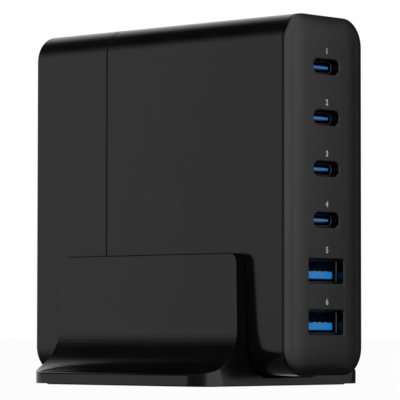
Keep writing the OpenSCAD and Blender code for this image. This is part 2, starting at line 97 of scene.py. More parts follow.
def setStops(ramp, stops):
    while len(ramp.elements) < len(stops):
        ramp.elements.new(0.5)
    for element, (place, level) in zip(ramp.elements, stops):
        element.position = place
        element.color = (level, level, level, 1) if isinstance(level, (int, float)) else level


def smoothStep(wire, value, start, stop, low, high):
    settings = {"interpolation_type": "SMOOTHSTEP", "clamp": True}
    return wire.node("MapRange", settings, {0: value, 1: start, 2: stop, 3: low, 4: high})


# Camera: long lens, near the height of the slab's foot, looking slightly up

camera = {
    "place": (-0.54819, -0.51066, 0.01334),
    "yaw": 47.108,
    "pitch": 2.716,
    "roll": -0.068,
    "lens": 253.91,
}


def makeCamera():
    data = bpy.data.cameras.new("camera")
    data.lens = camera["lens"]
    data.sensor_width = 36
    data.clip_start = 0.05
    data.clip_end = 50
    eye = bpy.data.objects.new("camera", data)
    turn = Matrix.Rotation(math.radians(-camera["yaw"]), 4, "Z")
    tilt = Matrix.Rotation(math.radians(90 + camera["pitch"]), 4, "X")
    lean = Matrix.Rotation(math.radians(-camera["roll"]), 4, "Z")
    eye.matrix_world = Matrix.Translation(camera["place"]) @ turn @ tilt @ lean
    bpy.context.scene.collection.objects.link(eye)
    bpy.context.scene.camera = eye


makeCamera()
print("camera ready")


# Studio: a pale ring round the horizon that gloss mirrors, and plain white for everything else

studio = {
    "levels": {               # of the ring, by direction in degrees from -X towards -Y
        -180: 0.006, -160: 0.006, -152: 0.05, -138: 0.95, -112: 1.05, -90: 0.7, -60: 0.62,
        -38: 0.62, -30: 0.25, -22: 0.08, 0: 0.06, 30: 0.08, 42: 0.15, 52: 0.8, 60: 1.25,
        118: 1.3, 126: 1.15, 131: 0.93, 135: 0.73, 138: 0.62, 143: 0.46, 150: 0.27, 157: 0.12,
        165: 0.035, 172: 0.01, 180: 0.006,
    },
    "ringTop": (0.20, 0.60),  # sine of the elevation where the ring starts and stops fading
    "lifts": {                # how much higher it reaches there
        -180: 0.4, -165: 0.05, -150: 0.1, -135: 0.28, -108: 0.28, -92: 0.16, -78: 0,
        100: 0, 125: 0.65, 160: 0.65, 180: 0.4,
    },
    "brightest": 2,           # the ramp of levels is stored as a share of this
    "ringFoot": (-0.62, -0.05, 0.06, 1),  # sines between which it fades in, and its share there
    "feet": {-180: 0, 95: 0, 130: 0.26, 180: 0.26},  # how much higher that fade lies there
    "ceiling": 0.008,         # level above the ring
    "topLamp": (0.88, 0.97, 0.4),  # sine where the lamp overhead starts and is full, its level
    "floorClear": 0.88,       # how far gloss sees through the floor to the ring's foot
    "floorGlow": (0.96, 0.1),  # how much of the floor glows by itself for the camera and in gloss
    "floorColour": (0.35, 0.35, 0.35, 1),
    "floorReach": 6,          # metres
}


def makeWorld():
    world = bpy.data.worlds.new("studio")
    bpy.context.scene.world = world
    world.use_nodes = True
    tree = world.node_tree
    tree.nodes.clear()
    wire = Wire(tree)
    aim = wire.node("TexCoord", {}, {}, "Generated")
    x, y, z = (wire.node("SeparateXYZ", {}, {0: aim}, axis) for axis in "XYZ")
    around = wire.sum("ARCTAN2", -1 * y, -1 * x) / math.tau + 0.5

    def byDirection(angles, top):
        stops = [((angle + 180) / 360, level / top) for angle, level in angles.items()]
        return wire.node("ValToRGB", {"stops": stops}, {0: around}) * top

    lifted = z - byDirection(studio["lifts"], 1)
    ring = byDirection(studio["levels"], studio["brightest"])
    ring = ring * smoothStep(wire, lifted, *studio["ringTop"], 1, 0)
    ring = ring * smoothStep(wire, z - byDirection(studio["feet"], 1), *studio["ringFoot"])
    start, stop, level = studio["topLamp"]
    ring = ring + studio["ceiling"] + smoothStep(wire, z, start, stop, 0, level)
    seen = wire.node("LightPath", {}, {}, "Is Camera Ray")
    soft = wire.node("LightPath", {}, {}, "Is Diffuse Ray")
    plain = seen + soft
    back = wire.node("Background", {}, {"Color": ring * (1 - plain) + plain})
    wire.node("OutputWorld", {}, {"Surface": back})


def makeFloor():
    bm = bmesh.new()
    bmesh.ops.create_grid(bm, x_segments=1, y_segments=1, size=studio["floorReach"])
    mesh = bpy.data.meshes.new("floor")
    bm.to_mesh(mesh)
    bm.free()
    floor = bpy.data.objects.new("floor", mesh)
    bpy.context.scene.collection.objects.link(floor)
    material = bpy.data.materials.new("paleFloor")
    material.use_nodes = True
    material.node_tree.nodes.clear()
    wire = Wire(material.node_tree)
    camRay = wire.node("LightPath", {}, {}, "Is Camera Ray")
    glossRay = wire.node("LightPath", {}, {}, "Is Glossy Ray")
    clearRay = wire.node("LightPath", {}, {}, "Is Transmission Ray")
    forCamera, forGloss = studio["floorGlow"]
    share = (camRay + clearRay) * forCamera + glossRay * forGloss
    diffuse = wire.node("BsdfDiffuse", {}, {"Color": studio["floorColour"]})
    glow = wire.node("Emission", {}, {"Color": (1, 1, 1, 1), "Strength": 1.0})
    mixed = wire.node("MixShader", {}, {0: share, 1: diffuse, 2: glow})
    clear = wire.node("BsdfTransparent", {}, {})
    both = wire.node("MixShader", {}, {0: glossRay * studio["floorClear"], 1: mixed, 2: clear})
    wire.node("OutputMaterial", {}, {"Surface": both})
    mesh.materials.append(material)


makeWorld()
makeFloor()
bpy.context.scene.view_settings.view_transform = "Standard"
print("studio ready")


# Finishes: "colour" and "tint" are mixed by a slow cloud. "grain" is the scale of the fine noise
# per metre, "depth" its height in metres and "stretch" how it is squeezed along each axis.

finishes = {
    "satinCasing": {"colour": (0.0030, 0.0030, 0.0033), "tint": (0.0042, 0.0042, 0.0046),
                    "rough": (0.15, 0.20), "grain": 3600, "depth": 3e-6},
    "satinFace": {"colour": (0.0032, 0.0032, 0.0036), "tint": (0.0044, 0.0044, 0.0049),
                  "rough": (0.16, 0.21), "grain": 3600, "depth": 3e-6},
    "satinCradle": {"colour": (0.0030, 0.0030, 0.0033), "tint": (0.0042, 0.0042, 0.0046),
                    "rough": (0.16, 0.21), "grain": 3400, "depth": 3e-6},
    "softStrip": {"colour": (0.010, 0.010, 0.011), "tint": (0.018, 0.018, 0.019),
                  "rough": (0.62, 0.78), "grain": 1800, "depth": 2e-5},
    "darkNickel": {"colour": (0.085, 0.085, 0.094), "tint": (0.13, 0.13, 0.14),
                   "rough": (0.30, 0.42), "metal": 1, "grain": 5200, "depth": 3e-6,
                   "stretch": (1, 0.06, 1)},
    "tongueBlue": {"colour": (0.006, 0.30, 0.90), "tint": (0.010, 0.34, 0.95),
                   "rough": (0.32, 0.42), "grain": 3000, "depth": 3e-6},
    "contactGold": {"colour": (0.80, 0.55, 0.20), "tint": (0.88, 0.66, 0.30),
                    "rough": (0.22, 0.34), "metal": 1, "grain": 6000, "depth": 2e-6,
                    "stretch": (1, 0.1, 1)},
    "labelGrey": {"colour": (0.46, 0.465, 0.48), "tint": (0.55, 0.55, 0.56),
                  "rough": (0.45, 0.55), "grain": 9000, "depth": 2e-6},
    "boardGreen": {"colour": (0.012, 0.10, 0.042), "tint": (0.03, 0.17, 0.07),
                   "rough": (0.22, 0.34), "grain": 900, "depth": 1.2e-5, "pattern": "cells"},
    "inletBlack": {"colour": (0.0040, 0.0040, 0.0044), "tint": (0.0065, 0.0065, 0.007),
                   "rough": (0.24, 0.32), "grain": 2600, "depth": 4e-6},
    "pinMetal": {"colour": (0.62, 0.62, 0.64), "tint": (0.74, 0.74, 0.75),
                 "rough": (0.16, 0.28), "metal": 1, "grain": 5000, "depth": 2e-6,
                 "stretch": (1, 0.08, 1)},
    "ferriteGrey": {"colour": (0.035, 0.035, 0.038), "tint": (0.075, 0.074, 0.077),
                    "rough": (0.5, 0.68), "grain": 2400, "depth": 1.6e-5},
    "ringGreen": {"colour": (0.030, 0.13, 0.06), "tint": (0.045, 0.18, 0.085),
                  "rough": (0.36, 0.5), "grain": 1500, "depth": 1.2e-5},
    "copperTurns": {"colour": (0.52, 0.20, 0.07), "tint": (0.72, 0.33, 0.14),
                    "rough": (0.24, 0.36), "metal": 1, "grain": 628, "depth": 1.2e-4,
                    "pattern": "bands"},
    "tapeYellow": {"colour": (0.62, 0.40, 0.03), "tint": (0.72, 0.50, 0.07),
                   "rough": (0.2, 0.34), "grain": 60, "depth": 6e-5, "pattern": "bands"},
    "filmBoxYellow": {"colour": (0.60, 0.38, 0.04), "tint": (0.66, 0.45, 0.08),
                      "rough": (0.42, 0.56), "grain": 2200, "depth": 1e-5},
    "ceramicTan": {"colour": (0.50, 0.42, 0.30), "tint": (0.62, 0.54, 0.41),
                   "rough": (0.34, 0.5), "grain": 1500, "depth": 1.4e-5},
    "chipBlack": {"colour": (0.014, 0.014, 0.015), "tint": (0.028, 0.028, 0.03),
                  "rough": (0.42, 0.58), "grain": 3600, "depth": 8e-6},
    "sleeveDark": {"colour": (0.020, 0.024, 0.034), "tint": (0.032, 0.038, 0.052),
                   "rough": (0.18, 0.3), "grain": 700, "depth": 1.2e-5, "stretch": (1, 1, 0.3)},
    "canAluminium": {"colour": (0.62, 0.63, 0.65), "tint": (0.76, 0.77, 0.79),
                     "rough": (0.22, 0.36), "metal": 1, "grain": 3600, "depth": 4e-6,
                     "stretch": (1, 1, 0.1)},
    "spreaderAluminium": {"colour": (0.60, 0.61, 0.63), "tint": (0.74, 0.75, 0.77),
                          "rough": (0.3, 0.45), "metal": 1, "grain": 3200, "depth": 5e-6,
                          "stretch": (1, 0.05, 1)},
    "sheetFilm": {"colour": (0.66, 0.60, 0.42), "tint": (0.76, 0.71, 0.55),
                  "rough": (0.3, 0.46), "grain": 800, "depth": 1.4e-5},
    "gapPad": {"colour": (0.16, 0.28, 0.42), "tint": (0.22, 0.36, 0.50),
               "rough": (0.58, 0.72), "grain": 1300, "depth": 3e-5},
}


# What the finishes' patterns share

patterns = {
    "grainDetail": 3, "grainRough": 0.55, "cloudScale": 90, "cloudDetail": 2,
    "cloudEdges": (0.35, 0.65), "cloudInRough": 0.4, "bandWobble": 0.4, "bandMix": 0.5,
    "cellWidth": 3, "cellEdges": (0.04, 0.10), "cellGrain": 0.3,
}


def makeFinish(name, look):
    material = bpy.data.materials.new(name)
    material.use_nodes = True
    tree = material.node_tree
    tree.nodes.clear()
    wire = Wire(tree)
    place = wire.node("TexCoord", {}, {}, "Object")
    squeezed = wire.node("Mapping", {}, {0: place, 3: look.get("stretch", (1, 1, 1))})
    grain = wire.node("TexNoise", {}, {"Vector": squeezed, "Scale": look["grain"],
                                       "Detail": patterns["grainDetail"],
                                       "Roughness": patterns["grainRough"]})
    cloud = wire.node("TexNoise", {}, {"Vector": place, "Scale": patterns["cloudScale"],
                                       "Detail": patterns["cloudDetail"]})
    spread = smoothStep(wire, cloud, *patterns["cloudEdges"], 0, 1)
    height = grain
    if look.get("pattern") == "bands":
        bands = {"wave_type": "BANDS", "bands_direction": "X", "wave_profile": "SIN"}
        height = wire.node("TexWave", bands, {"Vector": place, "Scale": look["grain"],
                                              "Distortion": patterns["bandWobble"],
                                              "Detail": 1}, 1)
        spread = spread * (1 - patterns["bandMix"]) + height * patterns["bandMix"]
    if look.get("pattern") == "cells":
        cells = wire.node("TexVoronoi", {"feature": "DISTANCE_TO_EDGE"},
                          {"Vector": place, "Scale": look["grain"] / patterns["cellWidth"]})
        flat = smoothStep(wire, cells, *patterns["cellEdges"], 0, 1)
        height = flat * (1 - patterns["cellGrain"]) + grain * patterns["cellGrain"]
        spread = 1 - height
    low, high = ((*look[key], 1) for key in ("colour", "tint"))
    colour = wire.node("Mix", {"data_type": "RGBA"}, {0: spread, 6: low, 7: high}, 2)
    start, stop = look["rough"]
    share = patterns["cloudInRough"]
    rough = start + (stop - start) * ((1 - share) * grain + share * spread)
    bump = wire.node("Bump", {}, {"Strength": 1.0, "Distance": look["depth"], "Height": height})
    surface = {"Base Color": colour, "Roughness": rough, "Normal": bump,
               "Metallic": look.get("metal", 0), "IOR": 1.5}
    shader = wire.node("BsdfPrincipled", {}, surface)
    wire.node("OutputMaterial", {}, {"Surface": shader})
    return material


finish = {name: makeFinish(name, look) for name, look in finishes.items()}
print("finishes ready:", len(finish))


# The record's slots and the finish of each

slotFinish = {
    "casing": "satinCasing", "port_face": "satinFace", "cradle": "satinCradle",
    "soft_strip": "softStrip", "socket_metal": "darkNickel", "tongue_blue": "tongueBlue",
    "contact_gold": "contactGold", "circuit_board": "boardGreen", "inlet_black": "inletBlack",
    "pin_metal": "pinMetal", "ferrite": "ferriteGrey", "ring_coating": "ringGreen",
    "copper_wire": "copperTurns", "coil_tape": "tapeYellow", "film_box": "filmBoxYellow",
    "ceramic": "ceramicTan", "chip_black": "chipBlack", "sleeve_dark": "sleeveDark",
    "aluminium_can": "canAluminium", "spreader_metal": "spreaderAluminium", "film": "sheetFilm",
    "gap_pad": "gapPad",
}
slotOf = {part["node"]: part["material_slot"] for part in frame["record"]["subparts"]}

for nodeName, node in frame["nodes"].items():
    node.data.materials.clear()
    node.data.materials.append(finish[slotFinish[slotOf[nodeName]]])
print("nodes finished")


# Making pieces: everything is drawn in millimetres and scaled once at the end

making = {
    "merge": 0.002,          # points nearer than this become one
    "mergeSolid": 0.001,     # the same in a copy of a solid
    "mergeDigit": 1e-4,      # and in a digit
    "nearCut": 1e-4,         # how near a cut a point counts as on it
    "stadiumRound": 0.9995,  # a hair short of round ends, so that no edge has no length
}


def addPiece(name, bm, slotName, *replaced, finishName=None, flatAngle=40):
    bmesh.ops.remove_doubles(bm, verts=bm.verts, dist=making["merge"])
    bmesh.ops.recalc_face_normals(bm, faces=bm.faces)
    bmesh.ops.scale(bm, vec=(mm, mm, mm), verts=bm.verts)
    for face in bm.faces:
        face.smooth = True
    mesh = bpy.data.meshes.new(name)
    bm.to_mesh(mesh)
    bm.free()
    mesh.set_sharp_from_angle(angle=math.radians(flatAngle))
    mesh.materials.append(finish[finishName or slotFinish[slotName]])
    piece = bpy.data.objects.new(name, mesh)
    bpy.context.scene.collection.objects.link(piece)
    even = piece.modifiers.new("evenShade", "WEIGHTED_NORMAL")
    even.keep_sharp = True
    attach(piece, "root")
    if replaced:
        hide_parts(*replaced)
    return piece


def addRing(bm, width, height, radius, y, z=0.0, steps=10):
    known = set(bm.faces)
    corners = bmesh.ops.create_grid(bm, x_segments=1, y_segments=1, size=0.5)["verts"]
    bmesh.ops.scale(bm, vec=(width, height, 1), verts=corners)
    if radius > 0:
        bmesh.ops.bevel(bm, geom=corners, offset=radius, offset_type="OFFSET", segments=steps,
                        profile=0.5, affect="VERTICES", material=-1)
    face = next(face for face in bm.faces if face not in known)
    ring = list(face.verts)
    edges = list(face.edges)
    bmesh.ops.delete(bm, geom=[face], context="FACES_ONLY")
    stand = Matrix.Translation((0, y, z)) @ Matrix.Rotation(math.radians(90), 4, "X")
    bmesh.ops.transform(bm, matrix=stand, verts=ring)
    return edges


def stadiumRing(bm, wide, high, y, z, steps=12):
    radius = min(wide, high) / 2 * making["stadiumRound"]
    return addRing(bm, wide, high, radius, y, z, steps)


def bridgeRings(bm, rings, closed=False):
    pairs = list(zip(rings, rings[1:])) + ([(rings[-1], rings[0])] if closed else [])
    for first, second in pairs:
        bmesh.ops.bridge_loops(bm, edges=first + second)


def fillRings(bm, rings):
    edges = [edge for ring in rings for edge in ring]
    bmesh.ops.triangle_fill(bm, edges=edges, use_beauty=True, normal=(0, 1, 0))


def arcPoints(centre, radius, start, stop, steps):
    angles = [math.radians(start + (stop - start) * k / steps) for k in range(steps + 1)]
    return [(centre[0] + radius * math.cos(a), centre[1] + radius * math.sin(a)) for a in angles]


# Places that the CAD gives, in millimetres

def cadSpan(nodeName):
    low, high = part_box(nodeName)
    return low / mm, high / mm


shellLow, shellHigh = cadSpan("front_shell")
panelLow, panelHigh = cadSpan("front_panel")
rearHigh = cadSpan("rear_shell")[1]
inletLow, inletHigh = cadSpan("inlet_housing")

slab = {
    "wide": shellHigh.x - shellLow.x,
    "high": shellHigh.z - shellLow.z,
    "midHeight": (shellHigh.z + shellLow.z) / 2,
    "cornerRadius": 7.2,
    "wall": 2.0,
    "frontY": panelLow.y,
    "seamY": shellLow.y,
    "lipLong": 3.0,
    "lipInset": 1.1,
    "lapInset": 1.0,
    "grooveWide": 0.3,
    "grooveInset": 0.9,
    "edgeSoft": 0.16,    # small radius at each seam
    "rearY": rearHigh.y,
    "rearRadius": 0.9,
    "cornerSteps": 14,
    "softSteps": 3,
    "rearSteps": 6,
    "plateBack": 2.65,   # from the plate behind the port face to the panel's rear edge
}
slab["partingY"] = shellHigh.y - slab["lipLong"]


def slabRing(bm, inset, y):
    radius = slab["cornerRadius"] - inset
    return addRing(bm, slab["wide"] - 2 * inset, slab["high"] - 2 * inset, radius, y,
                   slab["midHeight"], slab["cornerSteps"])


# Sleeve and rear cup of the casing, with a small radius at each seam

def makeSleeve():
    soft, wall = slab["edgeSoft"], slab["wall"]
    seam, parting = slab["seamY"], slab["partingY"]
    outline = [(wall, seam)]
    outline += arcPoints((soft, seam + soft), soft, 270, 180, slab["softSteps"])
    outline += arcPoints((soft, parting - soft), soft, 180, 90, slab["softSteps"])
    outline += [(slab["lipInset"], parting), (slab["lipInset"], parting + slab["lipLong"]),
                (wall, parting + slab["lipLong"])]
    bm = bmesh.new()
    bridgeRings(bm, [slabRing(bm, *point) for point in outline], closed=True)
    return addPiece("casingSleeve", bm, "casing", "front_shell")


inlet = {
    "wide": inletHigh.x - inletLow.x,
    "high": inletHigh.z - inletLow.z,
    "z": (inletHigh.z + inletLow.z) / 2,
    "flange": 1.6,       # hidden behind the cup's end, on each side
    "gap": 0.1,
    "holeSoft": ((0.12, 0), (0.035, 0.035), (0, 0.12)),  # out and back at the hole's edge
}


def makeCup():
    soft, wall, rear = slab["edgeSoft"], slab["wall"], slab["rearY"]
    start = slab["partingY"] + slab["grooveWide"]
    turn = slab["rearRadius"]
    outline = [(wall, rear - wall), (wall, slab["partingY"] + slab["lipLong"]),
               (slab["lapInset"], slab["partingY"] + slab["lipLong"]), (slab["lapInset"], start)]
    outline += arcPoints((soft, start + soft), soft, 270, 180, slab["softSteps"])
    outline += arcPoints((turn, rear - turn), turn, 180, 90, slab["rearSteps"])
    bm = bmesh.new()
    rings = [slabRing(bm, *point) for point in outline]
    bridgeRings(bm, rings)
    grow = 2 * (inlet["gap"] - inlet["flange"])
    holes = [stadiumRing(bm, inlet["wide"] + grow + 2 * more, inlet["high"] + grow + 2 * more,
                         rear - back, inlet["z"])
             for more, back in (*inlet["holeSoft"], (0, wall))]
    fillRings(bm, [rings[-1], holes[0]])
    bridgeRings(bm, holes)
    fillRings(bm, [holes[-1], rings[0]])
    return addPiece("casingCup", bm, "casing", "rear_shell")


makeSleeve()
makeCup()
print("casing ready")


# Port face: soft all round, slightly crowned, with six mouths

ports = {
    "heights": [81.5, 68.45, 55.4, 42.35, 29.3, 16.25],
    "smallCount": 4,
    "smallMouth": (9.7, 3.56),
    "largeMouth": (13.4, 5.98, 0.5),
    "mouthSoft": 0.42,
    "softSteps": 3,
    "largeSteps": 8,
    "nearMouth": 0.5,    # an open edge nearer a mouth than this is its edge
    "plateY": panelHigh.y - slab["plateBack"],
}

face = {
    "crownRadius": 40.0,
    "softRadius": 8.0,
    "lean": 30.0,
    "rimRadius": 0.3,
    "land": 0.1,
    "crown": 0.65,       # how far the middle would stand out over the side rims
    "crownStart": 3.5,   # distance from the outline where the crown is full
    "setBack": 0.03,
    "rings": (7.0, 6.3, 5.6, 4.9, 4.2, 3.6, 3.0, 2.5, 2.0, 1.6, 1.2, 0.85, 0.55, 0.3),
    "rimAngles": (30, 45, 60, 75),  # where the small radius at the rim has its rings
    "nearRim": 0.2,      # an open edge nearer the outline than this is the rim
    "cutStep": 0.95,     # distance of the cuts that let the face follow its crown
}


def faceCurve():
    lean = math.radians(face["lean"])
    small, soft, crown = face["rimRadius"], face["softRadius"], face["crownRadius"]
    edge = slab["cornerRadius"]
    start = math.asin((edge - small - (soft - small) * math.sin(lean)) / (crown - soft))
    softMid = ((crown - soft) * math.sin(start), crown - (crown - soft) * math.cos(start))
    edgeMid = (softMid[0] + (soft - small) * math.sin(lean),
               softMid[1] - (soft - small) * math.cos(lean))
    return start, softMid, edgeMid


faceStart, softMid, edgeMid = faceCurve()


def faceDrop(inset):
    out = slab["cornerRadius"] - inset
    crown, soft, small = face["crownRadius"], face["softRadius"], face["rimRadius"]
    if out <= 0:
        return 0.0
    if out < crown * math.sin(faceStart):
        return crown - math.sqrt(crown ** 2 - out ** 2)
    if out < softMid[0] + soft * math.sin(math.radians(face["lean"])):
        return softMid[1] - math.sqrt(soft ** 2 - (out - softMid[0]) ** 2)
    return edgeMid[1] - math.sqrt(max(0.0, small ** 2 - (out - edgeMid[0]) ** 2))


def insetAt(x, z):
    core = slab["cornerRadius"]
    outX = abs(x) - (slab["wide"] / 2 - core)
    outZ = abs(z - slab["midHeight"]) - (slab["high"] / 2 - core)
    if outX > 0 and outZ > 0:
        return core - math.hypot(outX, outZ)
    return core - max(outX, outZ)


def faceY(x, z):
    inset = insetAt(x, z)
    part = min(1.0, max(0.0, inset / face["crownStart"]))
    crown = face["crown"] * (x / (slab["wide"] / 2)) ** 2 * part * part * (3 - 2 * part)
    drop = faceDrop(inset) * (1 - face["setBack"] / edgeMid[1])
    return slab["frontY"] + face["setBack"] + drop + crown


def mouthRing(bm, index, more, y):
    z = ports["heights"][index]
    if index < ports["smallCount"]:
        wide, high = ports["smallMouth"]
        return stadiumRing(bm, wide + 2 * more, high + 2 * more, y, z)
    wide, high, radius = ports["largeMouth"]
    return addRing(bm, wide + 2 * more, high + 2 * more, radius + more, y, z,
                   ports["largeSteps"])


def squeezeMouth(verts, index, more):
    z = ports["heights"][index]
    wide, high = ports["largeMouth" if index >= ports["smallCount"] else "smallMouth"][:2]
    radius = high / 2 if index < ports["smallCount"] else ports["largeMouth"][2]
    coreX, coreZ = wide / 2 - radius, high / 2 - radius
    for vert in verts:
        outX = abs(vert.co.x) - coreX
        outZ = abs(vert.co.z - z) - coreZ
        if outX > 0 and outZ > 0:
            length = math.hypot(outX, outZ)
            vert.co.x = math.copysign(coreX + outX / length * (radius + more), vert.co.x)
            vert.co.z = z + math.copysign(coreZ + outZ / length * (radius + more), vert.co.z - z)
        elif outX > outZ:
            vert.co.x = math.copysign(coreX + radius + more, vert.co.x)
        else:
            vert.co.z = z + math.copysign(coreZ + radius + more, vert.co.z - z)


def moveToInset(vert, wanted):
    step = wanted - insetAt(vert.co.x, vert.co.z)
    middle, core = slab["midHeight"], slab["cornerRadius"]
    outX = abs(vert.co.x) - (slab["wide"] / 2 - core)
    outZ = abs(vert.co.z - middle) - (slab["high"] / 2 - core)
    if outX > 0 and outZ > 0:
        length = math.hypot(outX, outZ)
        vert.co.x -= math.copysign(step * outX / length, vert.co.x)
        vert.co.z -= math.copysign(step * outZ / length, vert.co.z - middle)
    elif outX > outZ:
        vert.co.x -= math.copysign(step, vert.co.x)
    else:
        vert.co.z -= math.copysign(step, vert.co.z - middle)


def extrudeRing(bm, edges):
    made = bmesh.ops.extrude_edge_only(bm, edges=edges)["geom"]
    verts = [item for item in made if isinstance(item, bmesh.types.BMVert)]
    ring = [item for item in made if isinstance(item, bmesh.types.BMEdge)
            and all(end in verts for end in item.verts)]
    return verts, ring


def carryOn(bm, edges, y, inset=None):
    verts, ring = extrudeRing(bm, edges)
    for vert in verts:
        if inset is not None:
            moveToInset(vert, inset)
        vert.co.y = y
    return ring


def makeFace():
    bm = bmesh.new()
    soft, plate = ports["mouthSoft"], ports["plateY"]
    rim = [edgeMid[0] + face["rimRadius"] * math.sin(math.radians(a)) for a in face["rimAngles"]]
    insets = list(face["rings"]) + [slab["cornerRadius"] - out for out in rim]
    rings = [slabRing(bm, inset, -inset) for inset in insets]
    mouths = [mouthRing(bm, k, soft, -insets[0]) for k in range(len(ports["heights"]))]
    fillRings(bm, [rings[0]] + mouths)
    bridgeRings(bm, rings)
    reach = math.floor(slab["wide"] / 2 / face["cutStep"])
    for k in range(-reach, reach + 1):
        bmesh.ops.bisect_plane(bm, geom=bm.verts[:] + bm.edges[:] + bm.faces[:],
                               dist=making["nearCut"], plane_co=(k * face["cutStep"], 0, 0),
                               plane_no=(1, 0, 0))
    for vert in bm.verts:
        vert.co.y = faceY(vert.co.x, vert.co.z)
    openEdges = [edge for edge in bm.edges if edge.is_boundary]

    def isOuter(edge):
        return insetAt(edge.verts[0].co.x, edge.verts[0].co.z) < face["nearRim"]

    rimY = slab["frontY"] + edgeMid[1]
    rimRing = carryOn(bm, [edge for edge in openEdges if isOuter(edge)], rimY, 0)
    rimRing = carryOn(bm, rimRing, rimY + face["land"])
    rimRing = carryOn(bm, rimRing, rimY + face["land"], slab["grooveInset"])
    backRings = [carryOn(bm, rimRing, plate)]
    for index, z in enumerate(ports["heights"]):
        wide, high = ports["largeMouth" if index >= ports["smallCount"] else "smallMouth"][:2]

        def nearMouth(edge):
            at = edge.verts[0].co
            return (abs(at.x) < wide / 2 + ports["nearMouth"]
                    and abs(at.z - z) < high / 2 + ports["nearMouth"])

        ring = [edge for edge in openEdges if nearMouth(edge)]
        turn = arcPoints((soft, soft), soft, 270, 180, ports["softSteps"] + 1)[1:]
        for out, back in turn:
            verts, ring = extrudeRing(bm, ring)
            squeezeMouth(verts, index, out)
            for vert in verts:
                vert.co.y = faceY(vert.co.x, vert.co.z) + back
        backRings.append(carryOn(bm, ring, plate))
    fillRings(bm, backRings)
    return addPiece("portFace", bm, "port_face", "front_panel", flatAngle=50)


makeFace()
print("port face ready")


# Numbers over the mouths

numbers = {
    "high": 1.55,
    "heights": [85.5, 72.4, 59.3, 46.4, 34.7, 21.5],
    "proud": 0.012,
    "thick": 0.01,
    "bold": 0.022,
}


def makeNumbers():
    for index, z in enumerate(numbers["heights"]):
        curve = bpy.data.curves.new(f"number{index + 1}", "FONT")
        curve.body = str(index + 1)
        curve.align_x = "CENTER"
        curve.size = 1
        curve.offset = numbers["bold"]
        holder = bpy.data.objects.new("holder", curve)
        bpy.context.scene.collection.objects.link(holder)
        bpy.context.view_layer.update()
        outline = bpy.data.meshes.new_from_object(holder)
        bpy.data.objects.remove(holder)
        bm = bmesh.new()
        bm.from_mesh(outline)
        bpy.data.meshes.remove(outline)
        tall = max(vert.co.y for vert in bm.verts) - min(vert.co.y for vert in bm.verts)
        low = min(vert.co.y for vert in bm.verts) + tall / 2
        bmesh.ops.translate(bm, vec=(0, -low, 0), verts=bm.verts)
        bmesh.ops.scale(bm, vec=(numbers["high"] / tall,) * 3, verts=bm.verts)
        stand = Matrix.Translation((0, 0, z)) @ Matrix.Rotation(math.radians(90), 4, "X")
        bmesh.ops.transform(bm, matrix=stand, verts=bm.verts)
        bmesh.ops.remove_doubles(bm, verts=bm.verts, dist=making["mergeDigit"])
        for vert in bm.verts:
            vert.co.y = faceY(vert.co.x, vert.co.z) - numbers["proud"]
        sides = bmesh.ops.extrude_face_region(bm, geom=bm.faces[:])["geom"]
        moved = [item for item in sides if isinstance(item, bmesh.types.BMVert)]
        bmesh.ops.translate(bm, vec=(0, -numbers["thick"], 0), verts=moved)
        addPiece(f"number_{index + 1}", bm, "port_face", finishName="labelGrey")


makeNumbers()
print("numbers ready")


# Sockets: metal shells with a rolled lip, and tongues with a chamfered tip

smallSocket = {
    "wide": 8.94, "high": 3.26, "sheet": 0.3, "long": 13.1, "lip": 0.14, "lipTurn": 0.04,
    "tongueWide": 6.69, "tongueThick": 0.75, "tongueRadius": 0.2, "tongueBack": 0.2,
    "tongueTip": ((1, 0), (0.35, 0.3), (0, 1)),  # in and back, as shares of tipSoft
    "tipSoft": 0.16, "leastRadius": 0.04, "rootLong": 3.0, "seat": 0.05, "blockSoft": 0.15,
    "steps": 4,
}

largeSocket = {
    "wide": 13.1, "high": 5.72, "radius": 0.6, "sheet": 0.3, "long": 13.1, "flare": 0.12,
    "flareRings": ((0.3, 0.5), (0, 1.1)),        # share of the flare left, and how far back
    "tongueWide": 11.1, "tongueThick": 2.0, "tongueRadius": 0.55, "tongueDrop": 1.0,
    "tongueBack": 0.6, "tipSoft": 0.3, "tipAngles": (0, 22, 45, 68, 90), "leastRadius": 0.05,
    "rootLong": 3.0, "seat": 0.05, "blockSoft": 0.2, "blockRadius": 0.3,
    "fingerX": 3.1, "fingerWide": 2.3, "fingerFront": 2.4, "fingerLong": 6.4, "slot": 0.35,
    "fingerBend": 0.42, "fingerSteps": 6, "fingerTip": 0.8,  # share of its length where it turns back
    "near": 0.02,        # how near a wall or a slot a point counts as on it
    "steps": 5, "blockSteps": 4,
}


def capRings(bm, rings):
    bridgeRings(bm, rings)
    fillRings(bm, [rings[0]])
    fillRings(bm, [rings[-1]])


